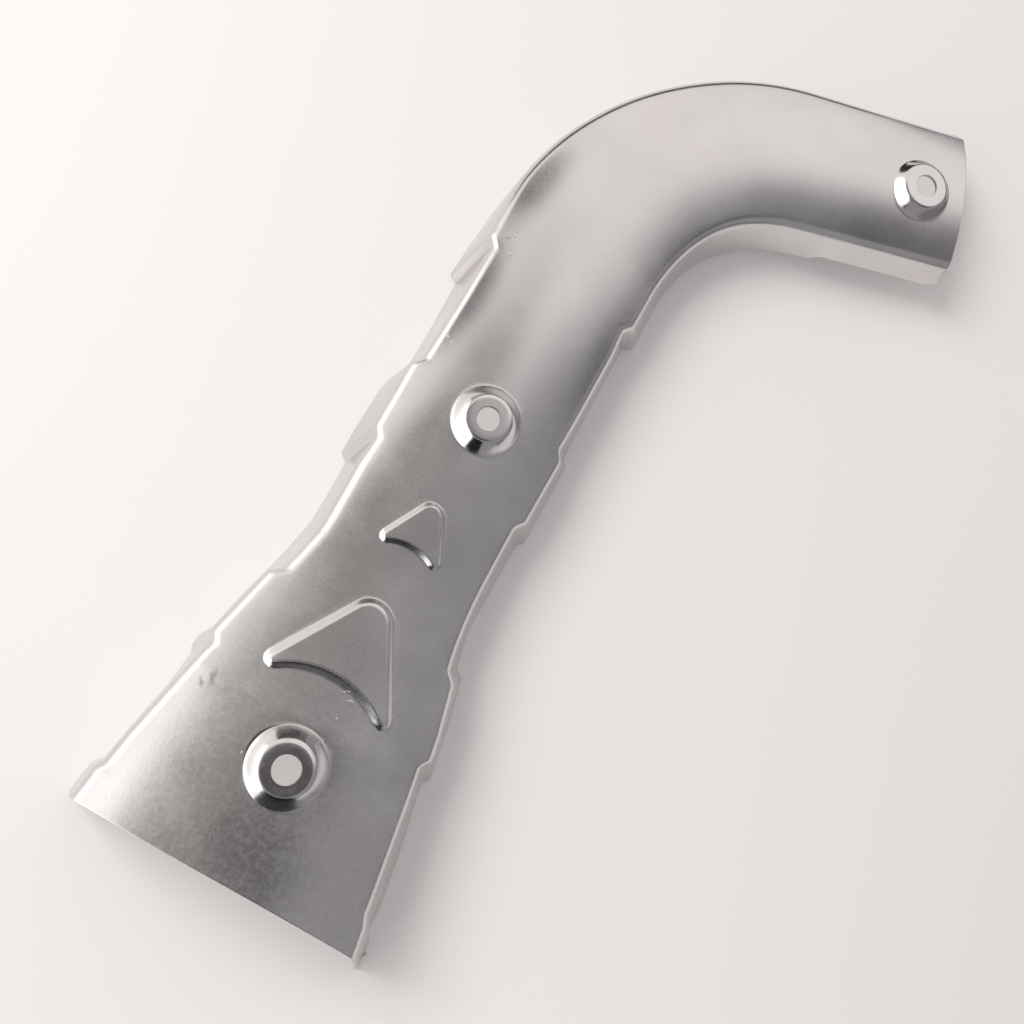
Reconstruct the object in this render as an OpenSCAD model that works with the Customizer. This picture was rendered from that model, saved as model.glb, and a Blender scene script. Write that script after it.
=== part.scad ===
// Exhaust pipe heat shield, pressed from one sheet of steel. It is an open
// channel that lies on its two foot edges with the crown up: a long leg that
// flares towards its wide end, an elbow, and a short narrow leg. The walls are
// joggled outwards at four pads, and the crown carries three bolt bosses and
// two fin-shaped beads.
//
// Every place on the shield is given by its station, the length along the
// spine from the wide end, and by its offset to the right of the spine.

/* [Sheet] */
// Thickness of the sheet
sheet_t = 0.9; // [0.7:0.1:1.1]
// Outside radius of the fold between crown and wall
fold_r = 3.2; // [2.6:0.1:4]

/* [Spine] */
// Straight length of the long leg
leg_len = 196; // [194:1:200]
// Radius of the spine in the elbow
elbow_r = 70; // [68:1:76]
// Angle that the elbow turns through
elbow_turn = 70; // [68:1:74]
// Straight length of the narrow leg
tail_len = 53.8; // [53:0.1:60]
// Sideways lean of the long leg's pads and end, per millimetre of offset
cross_lean = 0.04; // [0:0.01:0.05]

/* [Crown] */
// Half width over the folds along the waist, the elbow and the narrow leg
waist_half = 22.9; // [22:0.1:24]
// Half width over the folds at the wide end, without its pad
wide_half = 38.2; // [36:0.1:40]
// Station where the flare begins to open
flare_start = 88; // [84:1:92]
// Length over which the flare eases in
flare_ease = 9.6; // [6:0.1:15]
// Height of the crown line above the foot edges, outside
crown_h = 22; // [20:0.5:24]
// Further height that the crown line gains at the wide end
wide_gain = 11; // [6:0.5:13]
// Station from which the crown line climbs to the wide end
gain_start = 108; // [100:1:112]
// How far the crown line stands above the folds
crown_rise = 4.2; // [3:0.1:6]

/* [Walls] */
// How far the left foot edge stands outside its fold
splay_left = 3.4; // [2:0.1:5]
// How far the right foot edge stands outside its fold
splay_right = 4.9; // [3:0.1:6]
// Further splay of the right wall at the wide end
splay_wide = 2.2; // [0:0.1:3]
// Lean of the wide end's trim line, sideways per millimetre of height
end_lean = 0.26; // [0:0.01:0.3]
// Height of the foot edge above the ground where the elbow ends
foot_lift = 5.5; // [3:0.5:7]
// Station where the foot edge starts to rise
lift_start = 212; // [205:1:220]
// Step of the foot edge on the narrow leg
notch_h = 3; // [1:0.5:4]
// Station of that step
notch_at = 294; // [290:1:298]
// Corner radius of the walls at the narrow end
corner_r = 4; // [2:0.5:6]

/* [Pads] */
// First station of each pad on the folds
pad_from = [-9, 48, 116.5, 182.5];
// Last station of each pad on the folds
pad_to = [9, 70.8, 139.8, 230];
// Step of each pad on the folds
pad_step = [1.9, 2.6, 2.3, 2.4];
// First station of each pad on the left foot edge
left_from = [-9, 41, 108, 172.5];
// Last station of each pad on the left foot edge
left_to = [6.5, 46.5, 136, 200];
// Step of each pad on the left foot edge
left_step = [2, 1.2, 2.4, 2.8];
// First station of each pad on the right foot edge
right_from = [-9, 43, 115, 184];
// Last station of each pad on the right foot edge
right_to = [5, 73.4, 143.6, 216];
// Step of each pad on the right foot edge
right_step = [1.6, 2.1, 1.8, 2.8];
// Half length of a joggle
joggle = 0.8; // [0.6:0.1:1.2]
// Half length over which the elbow pad fades out
elbow_fade = 28; // [20:1:30]

/* [Bosses] */
// Stations of the bosses
boss_at = [30.6, 134.8, 319.8];
// Offsets of the bosses from the spine
boss_side = [0.7, 0.8, 1.9];
// Foot diameters of the bosses
boss_d = [21.6, 20.4, 20.2];
// Heights of the bosses above the crown
boss_h = [3.4, 3.4, 2.7];
// Hole diameters
hole_d = [7.2, 6.4, 7];
// Lean of each boss axis towards the elbow, square to the crown
boss_lean = [8.5, 0, 0];

/* [Fins] */
// Offset of both fins from the spine
fin_side = 0.8; // [0:0.1:2]
// Stations of the tips of the large and the small fin
fin_tip_at = [48.9, 91.8];
// Stations of their rounded points
fin_top_at = [78.4, 107.9];
// Half widths over their tips
fin_half = [18.9, 9.3];
// Radii of their hollow bases
fin_base_r = [24.2, 15.5];
// Height of the fins above the crown
fin_h = 1.9; // [1:0.1:2.4]

/* [Hidden] */
hole_fn = 48;
elbow_len = elbow_r * elbow_turn * PI / 180;
tail_at = leg_len + elbow_len;
spine_len = tail_at + tail_len;

// Stations between which the cross lean of the long leg fades out
lean_from = 148;
lean_to = 180;
// Share of the right splay that is lost on the way to the narrow leg
splay_loss = 0.45;
// Rate at which the further splay of the wide end fades along the flare
splay_power = 1.2;
// Half length of the step in the foot edge of the narrow leg
notch_half = 1.5;
// Station up to which the trim of the wide end draws the grid along
trim_reach = 17;
// How far the fold starts inside the half width, as a share of its radius
fold_start = 0.55;

// Grid lines across the crown: each is also a ring of a boss or of a fin
rings = [3.4, 6.4, 7.5, 9.3, 10.6];
top_ring = rings[3];
foot_ring = rings[4];
// Height of each ring of a boss and of a fin, as a share of the full height
boss_shape = [[0, 1], [6.7, 1], [7.5, 0.87], [9.3, 0.2], [10.6, 0], [99, 0]];
fin_shape = [[0, 1], [7.5, 1], [9.3, 0.93], [10.6, 0], [99, 0]];
// The grid is plain again this far from a boss, and at this share of a fin
block_half = 13.6;
block_share = 1.16;
// Room beside a fin's tips, and the length over which that room closes
fin_room = 3.5;
room_fade = 7;

// Outline of a fin, in shares of its half width and length: the corners of the
// hollow base, the start of the straight sides, and their end at the point
fin_base = 0.84;
fin_side_from = 0.17;
fin_neck = [0.4, 0.86];
// Share of a grid side that goes round a tip, and roundness of the point
tip_share = 0.15;
point_round = 0.75;
// Middle of a fin's top, and the width of its wall at the sides, at the tips
// and at the point
fin_middle = 0.45;
fin_wall = 1.3;
fin_inset = [1.7, 0.8, -1.3];

fin_mid = [for (i = [0, 1]) (fin_tip_at[i] + fin_top_at[i]) / 2];
fin_reach = [for (i = [0, 1]) (fin_top_at[i] - fin_tip_at[i]) / 2];

function mix(a, b, t) = a * (1 - t) + b * t;
function ease(a, b, v) =
    let (t = min(1, max(0, (v - a) / (b - a))))
    t * t * (3 - 2 * t);
function soft_ramp(v, r) = (v + sqrt(v * v + r * r)) / 2;
function sum(v, i = 0) = i < len(v) ? v[i] + sum(v, i + 1) : 0;
function sorted(v) =
    len(v) < 2 ? v :
    let (p = v[floor(len(v) / 2)])
    concat(sorted([for (a = v) if (a < p) a]), [p], sorted([for (a = v) if (a > p) a]));
function unit(v) = v / norm(v);

// Widths and heights along the spine
flare_slope = (wide_half - waist_half) / flare_start;
flare_round = flare_slope * flare_ease;
function flare(s) = soft_ramp(flare_slope * (flare_start - s), flare_round);
function crown_half(s) = waist_half + flare(s) - flare(spine_len);
function crown_top(s) = crown_h + wide_gain * pow(max(0, 1 - s / gain_start), 2);
function crown_z(x, s) = crown_top(s) - crown_rise * pow(x / crown_half(s), 2);
function pad(s, from, to, step) = sum([
    for (i = [0:3])
        let (fade = i == 3 ? elbow_fade : joggle)
        step[i] * ease(from[i] - joggle, from[i] + joggle, s) * (1 - ease(to[i] - fade, to[i] + fade, s))
]);
function fold_half(s) = crown_half(s) + pad(s, pad_from, pad_to, pad_step);
function left_foot(s) = crown_half(s) + splay_left + pad(s, left_from, left_to, left_step);
function right_foot(s) =
    crown_half(s) + splay_right * (1 - splay_loss * ease(lift_start, notch_at, s))
    + splay_wide * pow(max(0, 1 - s / flare_start), splay_power)
    + pad(s, right_from, right_to, right_step);
function foot_z(s) =
    let (rise = foot_lift * min(1, max(0, (s - lift_start) / (notch_at - lift_start))),
         step = notch_h * ease(notch_at - notch_half, notch_at + notch_half, s),
         c = max(0, s - (spine_len - corner_r)))
    rise + step + corner_r - sqrt(max(0, corner_r * corner_r - c * c));

// Stations of the grid: the rings of the bosses and the fins, both sides of
// every joggle, and steps between them. Stations closer than this are merged.
nearest = 0.28;
function mirrored(v) = concat([for (a = v) -a], [0], v);
function both_sides(v, d) = [for (s = v, e = [-d, d]) s + e];
boss_rows = [for (s = boss_at, r = mirrored(concat(rings, [block_half]))) s + r];
fin_rows = [
    for (i = [0, 1], r = mirrored(concat(rings / foot_ring, [block_share])))
        fin_mid[i] + r * fin_reach[i]
];
fold_steps = [pad_to[0], pad_from[1], pad_to[1], pad_from[2], pad_to[2], pad_from[3]];
foot_steps = [left_to[0], left_from[2], left_from[3]];
leg_rows = [0, 3, 13, 85, 113, 156, 164, 177, 189.5];
elbow_rows = [for (k = [0:15]) leg_len + k * elbow_len / 15];
tail_rows = [notch_at - 6, notch_at + 7];
corner_rows = [for (a = [90:-30:0]) spine_len - corner_r * sin(a)];
function thinned(v, i = 1, kept = [0]) =
    i >= len(v) ? kept :
    thinned(v, i + 1, v[i] - kept[len(kept) - 1] > nearest ? concat(kept, [v[i]]) : kept);
rows = thinned(sorted(concat(
    boss_rows, fin_rows, both_sides(fold_steps, joggle), both_sides(foot_steps, joggle),
    both_sides([notch_at], notch_half), leg_rows, elbow_rows, tail_rows, corner_rows
)));

// A boss turns square rings of the grid into round ones. The result is the
// place, its hold on the grid and its ring.
function boss_pull(i, x, s) =
    let (a = x - boss_side[i],
         b = s - boss_at[i],
         m = max(abs(a), abs(b)),
         grow = boss_d[i] / 2 / foot_ring,
         ring = m < 0.01 ? [0, 0] : unit([a, b]) * m * grow)
    [[boss_side[i], boss_at[i]] + ring, 1 - ease(foot_ring, block_half, m), m];

// A fin turns them into an arrowhead: hollow base, two straight sides and a
// rounded point. q is a place on the edge of a square of half width 1, and the
// outline is drawn at an inset from the foot of the fin.
function fin_edge(i, q, inset) =
    let (half = fin_half[i] - fin_inset[0] * inset,
         tip = fin_tip_at[i] + fin_inset[1] * inset,
         top = fin_top_at[i] + fin_inset[2] * inset,
         base_x = half * fin_base,
         base_c = fin_tip_at[i] - sqrt(pow(fin_base_r[i], 2) - pow(fin_half[i] * fin_base, 2)),
         r = fin_base_r[i] + inset,
         base_y = base_c + sqrt(r * r - base_x * base_x),
         side_y = mix(tip, top, fin_side_from),
         neck_x = half * fin_neck[0],
         neck_y = mix(tip, top, fin_neck[1]),
         u = (q[1] + 1) / 2,
         turn = 90 * u / tip_share,
         run = (u - tip_share) / (1 - tip_share))
    q[1] <= -0.999 ? [base_x * q[0], base_c + sqrt(r * r - pow(base_x * q[0], 2))] :
    q[1] >= 0.999 ? [neck_x * q[0], mix(neck_y, top, pow(max(0, 1 - q[0] * q[0]), point_round))] :
    u < tip_share ? [sign(q[0]) * mix(base_x, half, sin(turn)), mix(side_y, base_y, cos(turn))] :
    [sign(q[0]) * mix(half, neck_x, run), mix(side_y, neck_y, run)];
function fin_pull(i, a, s) =
    let (b = (s - fin_mid[i]) / fin_reach[i] * foot_ring,
         m = max(abs(a), abs(b)),
         q = m < 0.01 ? [0, 1] : [a, b] / m,
         centre = [0, mix(fin_tip_at[i], fin_top_at[i], fin_middle)],
         rim = fin_edge(i, q, fin_wall * fin_half[i] / fin_half[0]),
         foot = fin_edge(i, q, 0),
         p = m < top_ring ? mix(centre, rim, m / top_ring)
             : mix(rim, foot, (m - top_ring) / (foot_ring - top_ring)))
    [[p[0] + fin_side, p[1] - cross_lean * p[0]], 1 - ease(foot_ring, foot_ring * block_share, m), m];

// One point of the crown: its offset, its station and its height. a is its
// offset on the plain grid.
function square_off(x, s) = [x, s - cross_lean * x * (1 - ease(lean_from, lean_to, s))];
function crown_point(a, s) =
    let (plain = square_off(a, s),
         b = [for (i = [0:2]) if (abs(s - boss_at[i]) < block_half) i],
         f = [for (i = [0, 1]) if (abs(s - fin_mid[i]) < block_share * fin_reach[i] + 0.01) i])
    len(b) > 0 ?
        let (i = b[0],
             p = boss_pull(i, a + boss_side[i], s),
             at = mix(plain, p[0], p[1]),
             seat = crown_z(boss_side[i], boss_at[i]) + boss_h[i] / cos(boss_lean[i])
                 - (at[1] - boss_at[i]) * tan(boss_lean[i]))
        [at[0], at[1], mix(crown_z(at[0], at[1]), seat, lookup(p[2], boss_shape))] :
    len(f) > 0 ?
        let (p = fin_pull(f[0], a, s),
             at = mix(plain, p[0], p[1]))
        [at[0], at[1], crown_z(at[0], at[1]) + fin_h * lookup(p[2], fin_shape)] :
    [plain[0], plain[1], crown_z(plain[0], plain[1])];

// One half of a section, from the crown line to the foot edge. side is 1 on
// the right and -1 on the left.
function outer_column(s) = block_half + max([
    for (i = [0, 1])
        let (end = fin_reach[i] * block_share)
        max(0, fin_half[i] + fin_room - block_half) * (1 - ease(end, end + room_fade, abs(s - fin_mid[i])))
]);
function half_section(s, side) =
    let (h = fold_half(s),
         start = h - fold_start * fold_r,
         col = outer_column(s),
         foot = [side > 0 ? right_foot(s) : left_foot(s), foot_z(s)],
         slope = atan(2 * crown_rise * start / pow(crown_half(s), 2)),
         edge_z = crown_z(start, s),
         wall_turn = 90 - atan((foot[0] - h) / (edge_z - foot[1])),
         crown = [for (a = concat(rings, [col, mix(col, start, 0.5)])) crown_point(side * a, s)],
         fold = [
             for (k = [0:3])
                 let (g = mix(slope, wall_turn, k / 3))
                 [start + fold_r * (sin(g) - sin(slope)), edge_z - fold_r * (cos(slope) - cos(g))]
         ],
         wall = [mix(fold[3], foot, 0.5), foot])
    concat(crown, [
        for (p = concat(fold, wall))
            let (at = square_off(side * p[0], s))
            [at[0], at[1], p[1]]
    ]);
function section(s) =
    let (left = half_section(s, -1), n = len(left))
    concat([for (i = [n - 1:-1:0]) left[i]], [crown_point(0, s)], half_section(s, 1));

// The wide end is trimmed square to its climbing crown
end_fold_z = crown_top(0) - crown_rise;
function trim(p) =
    let (draw = pow(max(0, 1 - p[1] / trim_reach), 2))
    [p[0], p[1] + end_lean * (p[2] - end_fold_z) * draw, p[2]];

// From offset, station and height to the shield's own frame
function turned(x, g) = [elbow_r - (elbow_r - x) * cos(g), leg_len + (elbow_r - x) * sin(g)];
function bend(p) =
    let (g = (min(max(p[1], leg_len), tail_at) - leg_len) / elbow_r * 180 / PI,
         at = turned(p[0], g),
         d = min(0, p[1] - leg_len) + max(0, p[1] - tail_at))
    [at[0] + d * sin(g), at[1] + d * cos(g), p[2]];

outside = [for (s = rows) [for (p = section(s)) bend(trim(p))]];
count = len(rows);
columns = len(outside[0]);

// The inside face lies one sheet thickness below the outside face
function inward(i, j) =
    let (along = outside[min(i + 1, count - 1)][j] - outside[max(i - 1, 0)][j],
         across = outside[i][min(j + 1, columns - 1)] - outside[i][max(j - 1, 0)])
    unit(cross(along, across));
inside = [for (i = [0:count - 1]) [for (j = [0:columns - 1]) outside[i][j] + sheet_t * inward(i, j)]];

// Origin under the middle of the box that holds the shield
all_points = [for (g = [outside, inside], r = g, p = r) p];
low = [for (k = [0:2]) min([for (p = all_points) p[k]])];
high = [for (k = [0:1]) max([for (p = all_points) p[k]])];
origin = [(low[0] + high[0]) / 2, (low[1] + high[1]) / 2, low[2]];

// Outside and inside face, closed at both ends and along both foot edges. A
// side of the grid is 0 for the outside face and 1 for the inside face.
module sheet() {
    at = function (g, i, j) (g * count + i) * columns + j;
    split = function (a, b, c, d, out) out ? [[a, b, c], [a, c, d]] : [[a, c, b], [a, d, c]];
    faces = [
        for (i = [0:count - 2], j = [0:columns - 2], g = [0, 1])
            each split(at(g, i, j), at(g, i + 1, j), at(g, i + 1, j + 1), at(g, i, j + 1), g == 0)
    ];
    ends = [
        for (j = [0:columns - 2], e = [0, 1])
            let (i = e * (count - 1))
            each split(at(0, i, j), at(0, i, j + 1), at(1, i, j + 1), at(1, i, j), e == 0)
    ];
    feet = [
        for (i = [0:count - 2], e = [0, 1])
            let (j = e * (columns - 1))
            each split(at(0, i, j), at(1, i, j), at(1, i + 1, j), at(0, i + 1, j), e == 0)
    ];
    polyhedron(points = all_points, faces = concat(faces, ends, feet), convexity = 8);
}

module hole(i) {
    translate(bend([boss_side[i], boss_at[i], crown_z(boss_side[i], boss_at[i])]))
        rotate([-boss_lean[i], 0, 0])
            cylinder(d = hole_d[i], h = 4 * boss_h[i], center = true, $fn = hole_fn);
}

module heat_shield() {
    color([0.72, 0.72, 0.73])
        translate(-origin)
            difference() {
                sheet();
                for (i = [0:2]) hole(i);
            }
}

heat_shield();
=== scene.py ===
# %% [markdown]
# # A pressed heat shield
# The shield covers an exhaust pipe. It is one sheet of steel, 0.9 mm thick: a
# press bends it into an open channel with an elbow, joggles its side walls,
# raises three bolt bosses and two fins, and pierces a hole in each boss.
#
# First the imported model is loaded. It is the frame that every piece has to fit, so its box is kept, and
# the pressed sheet is held within it later.

# %% Frame
import math

import bpy
import numpy as np
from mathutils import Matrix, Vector


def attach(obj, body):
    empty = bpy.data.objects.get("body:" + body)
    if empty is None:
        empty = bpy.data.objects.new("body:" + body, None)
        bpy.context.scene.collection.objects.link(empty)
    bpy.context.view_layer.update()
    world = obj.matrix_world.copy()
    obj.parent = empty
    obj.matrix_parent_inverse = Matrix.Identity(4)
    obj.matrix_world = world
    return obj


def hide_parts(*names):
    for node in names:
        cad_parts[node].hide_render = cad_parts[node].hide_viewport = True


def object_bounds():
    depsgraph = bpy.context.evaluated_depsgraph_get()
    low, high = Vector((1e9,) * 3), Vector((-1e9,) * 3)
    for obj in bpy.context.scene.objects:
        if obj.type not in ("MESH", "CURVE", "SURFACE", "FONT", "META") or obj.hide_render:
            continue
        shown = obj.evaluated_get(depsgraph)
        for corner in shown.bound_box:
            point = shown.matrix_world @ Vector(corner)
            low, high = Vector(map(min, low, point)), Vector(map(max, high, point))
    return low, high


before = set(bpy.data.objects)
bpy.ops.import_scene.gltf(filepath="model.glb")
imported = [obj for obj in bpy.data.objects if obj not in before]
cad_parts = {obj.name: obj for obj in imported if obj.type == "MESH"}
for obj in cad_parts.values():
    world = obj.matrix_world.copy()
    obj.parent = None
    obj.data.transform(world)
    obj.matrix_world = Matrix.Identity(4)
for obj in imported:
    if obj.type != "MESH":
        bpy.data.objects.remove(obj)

MM = 0.001


def corners(box):
    return [list(map(float, corner)) for corner in box]


def in_mm(box):
    return [[round(v / MM, 1) for v in corner] for corner in box]


cad_box = corners(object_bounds())
print("frame box in mm:", in_mm(cad_box))

# %% [markdown]
# # The camera
# The picture was taken from above, tilted a little, with an ordinary lens
# quite close to the shield. A camera could be placed by eye. Here its place
# and turn were worked out from points of known height on the shield, so that
# each outline falls where it does in the picture.

# %% Camera
CAMERA_AT = (-48.75, -82.49, 279.33)
CAMERA_TURN = (5.884, -12.709, 29.505)

lens = bpy.data.cameras.new("camera")
lens.lens = 34.0
lens.sensor_width = 36.0
lens.clip_start = 0.01
camera = bpy.data.objects.new("camera", lens)
camera.location = [v * MM for v in CAMERA_AT]
camera.rotation_euler = [math.radians(v) for v in CAMERA_TURN]
bpy.context.scene.collection.objects.link(camera)
bpy.context.scene.camera = camera
print("camera height in mm:", CAMERA_AT[2])

# %% [markdown]
# # Sizes of the channel
# A place on the sheet is named by its station, the length along the spine from
# the wide end, and by its offset to the right of the spine. Both are in
# millimetres, and so is the height. The spine is straight, turns through the
# elbow and is straight again. The channel could be drawn around the elbow at
# once. It is laid out on a straight spine here and bent last, because a
# straight channel is far easier to describe.

# %% Sizes of the channel
SHEET = 0.9
FOLD_R = 4.2
LEG, ELBOW_R, TURN, TAIL = 196.0, 70.0, math.radians(70), 53.8
TAIL_AT = LEG + ELBOW_R * TURN
SPINE = TAIL_AT + TAIL
CROSS_LEAN = 0.04
WAIST_HALF, WIDE_HALF, FLARE_AT, FLARE_EASE = 22.9, 38.2, 88.0, 9.6
CROWN_H, WIDE_GAIN, GAIN_AT, CROWN_RISE = 22.0, 11.0, 108.0, 4.2
# where the frame has its origin, from the middle of the wide end
ORIGIN = np.array([31.0549, 146.845, -0.3292])


def ease(a, b, v):
    """Rises softly from 0 at a to 1 at b."""
    t = np.clip((v - a) / (b - a), 0, 1)
    return t * t * (3 - 2 * t)


def mix(a, b, t):
    return a + (b - a) * t


def flare(s):
    """How much wider the wide end opens at a station."""
    slope = (WIDE_HALF - WAIST_HALF) / FLARE_AT
    v = slope * (FLARE_AT - s)
    return (v + np.sqrt(v * v + (slope * FLARE_EASE) ** 2)) / 2


def crown_half(s):
    return WAIST_HALF + flare(s) - flare(SPINE)


def crown_top(s):
    return CROWN_H + WIDE_GAIN * np.maximum(0, 1 - s / GAIN_AT) ** 2


print("spine length in mm:", round(SPINE, 1))

# %% [markdown]
# The crown is curved across, most at the wide end. One curve for the whole
# length would be simpler, but the light on the steel shows where it changes.
# So a table gives the rise at a few stations. Straight lines between them
# would show as kinks in shiny metal, and they are rounded off.

# %% Curve of the crown
# station, rise of the crown over its edges, and how far the curve crowds outwards
CURVE = np.array([
    (0, 5.4, 0.3), (30, 4.6, 0.1), (60, 3.6, 0), (90, 3.0, 0), (118, 3.7, 0), (134, 4.2, 0),
    (160, 4.2, 0), (190, 3.8, 0), (235, 3.2, 0), (280, 3.6, 0), (308, 4.2, 0)]).T
CURVE_AT = np.arange(-60.0, 400.0)
CURVE_SOFTNESS = 10.0


def soft_curve(values):
    """The table's values with its kinks rounded off."""
    plain = np.interp(CURVE_AT, CURVE[0], values)
    weights = np.exp(-(np.arange(-24, 25) / CURVE_SOFTNESS) ** 2)
    return np.convolve(plain, weights / weights.sum(), "same")


RISE, CROWD = soft_curve(CURVE[1]), soft_curve(CURVE[2])


def curve(s):
    return np.interp(s, CURVE_AT, RISE), np.interp(s, CURVE_AT, CROWD)


def crown_z(x, s):
    """Height of the crown. A flatter crown lies lower, so that its edges keep their height."""
    rise, crowd = curve(s)
    u = (x / crown_half(s)) ** 2
    return crown_top(s) - np.maximum(0, CROWN_RISE - rise) - rise * (u * (1 - crowd) + u * u * crowd)


def crown_slope(x, s):
    """Slope of the crown across, as an angle."""
    rise, crowd = curve(s)
    u = x / crown_half(s)
    return np.arctan(rise / crown_half(s) * (2 * u * (1 - crowd) + 4 * u ** 3 * crowd))


print("crown height at the wide end in mm:", round(float(crown_z(0, 0)), 1))

# %% [markdown]
# # Pads
# At four pads both walls are joggled outwards. A pad has a first and a last
# station and a step, on the folds and again on each foot edge, because its
# ends run aslant down the walls. Pads could be pushed out of a finished wall
# one by one. Adding their steps to the half width puts them into the folds,
# the walls and the feet in one go.

# %% Pads
JOGGLE, FOOT_JOGGLE = 2.0, 1.2
ELBOW_FADE = 28.0
FOLD_PADS = [(-9, 9, 1.9), (48, 70.8, 2.6), (116.5, 139.8, 2.3), (182.5, 230, 2.4)]
LEFT_PADS = [(-9, 6.5, 2.0), (41, 46.5, 1.2), (108, 136, 2.4), (172.5, 200, 2.8)]
RIGHT_PADS = [(-9, 5, 1.6), (43, 73.4, 2.1), (115, 143.6, 1.8), (184, 216, 2.8)]


def pads(s, table, half):
    """Sum of the pads' steps. Each joggle is 2 * half long, and the last pad fades into the elbow."""
    total = np.zeros_like(s)
    for first, last, step in table:
        fade = ELBOW_FADE if last == table[-1][1] else half
        total += step * ease(first - half, first + half, s) * (1 - ease(last - fade, last + fade, s))
    return total


print("pads on each wall:", len(FOLD_PADS))

# %% [markdown]
# The two sides aren't quite alike, as on many pressings. Short tables say how
# much further out a fold or a foot edge runs than the plain flare and pads
# have it. The right wall leans out further than the left one, and its foot
# edge tucks in again on the narrow leg.

# %% Folds and feet
# station, and millimetres further out
LEFT_FOLD = [(0, 0), (6, 0.3), (11, 1.5), (18, 1.8), (44, 1.4), (50, 0.4), (69, -0.4), (78, -1.0),
             (86, -1.4), (94, -0.7), (106, 0), (118, -0.5), (137, 0), (162, -0.5), (187, -0.4),
             (202, 0.5), (225, 0)]
RIGHT_FOLD = [(0, -0.7), (8, -0.5), (11, 0.6), (25, 1.1), (39, 1.5), (56, 1.5), (69, 0.4), (78, 0),
              (113, 0.2), (137, 0.7), (153, 1.0), (173, 0.8), (181, 0)]
LEFT_FOOT = [(0, 0), (31, 0), (41, 0.9), (45, 1.2), (60, 0.9), (71, 0), (87, -0.7), (106, 0.2),
             (117, 0.6), (131, 0.4), (137, -0.6), (157, -0.5), (171, 0)]
RIGHT_FOOT = [(0, 0), (10, 1.2), (25, 1.4), (42, 1.1), (60, 1.3), (70, 0.7), (84, -0.4), (95, 0.5),
              (122, 0.7), (147, 0.5), (163, 0)]
SPLAY_LEFT, SPLAY_RIGHT, SPLAY_WIDE = 3.4, 4.9, 2.2
LIFT_AT, LIFT, NOTCH_AT, NOTCH = 212.0, 5.5, 294.0, 3.0
TUCK = 0.45
# half lengths of the foot edge's step, on the right wall and on the left
NOTCH_RIGHT, NOTCH_LEFT = 1.5, 9
CORNER_R = 4.0


def further(s, table):
    return np.interp(s, *np.array(table).T)


def fold_half(s, side=1):
    table = RIGHT_FOLD if side > 0 else LEFT_FOLD
    return crown_half(s) + pads(s, FOLD_PADS, JOGGLE) + further(s, table)


def left_foot(s):
    return crown_half(s) + SPLAY_LEFT + pads(s, LEFT_PADS, FOOT_JOGGLE) + further(s, LEFT_FOOT)


def right_foot(s):
    splay = SPLAY_RIGHT * (1 - TUCK * ease(LIFT_AT, NOTCH_AT, s))
    wide = SPLAY_WIDE * np.maximum(0, 1 - s / FLARE_AT) ** 1.2
    return crown_half(s) + splay + wide + pads(s, RIGHT_PADS, FOOT_JOGGLE) + further(s, RIGHT_FOOT)


def foot_z(s, soft):
    """Height of the foot edge: it lifts, steps up and ends in a round corner."""
    rise = LIFT * np.clip((s - LIFT_AT) / (NOTCH_AT - LIFT_AT), 0, 1)
    c = np.maximum(0, s - (SPINE - CORNER_R))
    return rise + NOTCH * ease(NOTCH_AT - soft, NOTCH_AT + soft, s) + CORNER_R - np.sqrt(
        np.maximum(0, CORNER_R ** 2 - c * c))


print("half width over the folds at the waist:", round(float(fold_half(np.array([100.0]))[0]), 1))

# %% [markdown]
# A joggle doesn't run straight down a wall. The tables say how far its foot
# lies from its fold along the shield, and between the joggles the slant
# changes softly from one to the next.

# %% Slant of the joggles
# station of a joggle on the fold, and how much further on it meets the foot edge
LEFT_SLANT = [(0, 0), (9, -2.5), (48, -4.2), (70.8, -1), (116.5, -8.5), (139.8, -3.8),
              (182.5, -10), (222, 0)]
RIGHT_SLANT = [(0, 0), (9, -4), (48, -5), (70.8, 2.6), (116.5, -1.5), (139.8, 3.8),
               (182.5, 1.5), (222, 0)]
SLANT_HOLD = 2.5


def slant(s, table):
    shift = np.full_like(s, float(table[0][1]))
    for (a, start), (b, end) in zip(table, table[1:]):
        shift += (end - start) * ease(a + SLANT_HOLD, b - SLANT_HOLD, s)
    return shift


print("largest slant in mm:", max(abs(step) for at, step in LEFT_SLANT + RIGHT_SLANT))

# %% [markdown]
# # Bosses and fins
# A boss rises from the crown over a small foot radius, a steep wall and a
# larger top radius to its flat top. A fin does the same over a lower wall, and
# its base is hollowed inwards. Both could be cones and wedges joined on by a
# Boolean, but a press draws them out of the same sheet. So they are sections
# here, which the grid of the sheet follows.

# %% Bosses and fins
BOSSES = [
    {"at": 30.6, "side": 0.7, "foot": 10.5, "hole": 3.6, "rise": 3.4, "lean": math.radians(8.5)},
    {"at": 134.8, "side": 0.8, "foot": 10.0, "hole": 3.2, "rise": 3.4, "lean": 0.0},
    {"at": 319.8, "side": 1.9, "foot": 9.9, "hole": 3.5, "rise": 2.7, "lean": 0.0},
]
# middles of the round corners of each fin, and their radii
FINS = [
    {"left": (-15.8, 51.4), "right": (16.6, 52.0), "point": (0.8, 71.2), "corner_r": 2.7, "point_r": 6.9,
     "base_r": 25.3, "rise": 1.5, "top_r": 1.3},
    {"left": (-6.8, 93.5), "right": (8.0, 94.0), "point": (0.8, 103.9), "corner_r": 2.1, "point_r": 4.2,
     "base_r": 13.4, "rise": 1.15, "top_r": 0.7},
]
FOOT_R, BOSS_TOP_R = 0.3, 1.8
BOSS_WALL, FIN_WALL = math.radians(45), math.radians(41)


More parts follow.
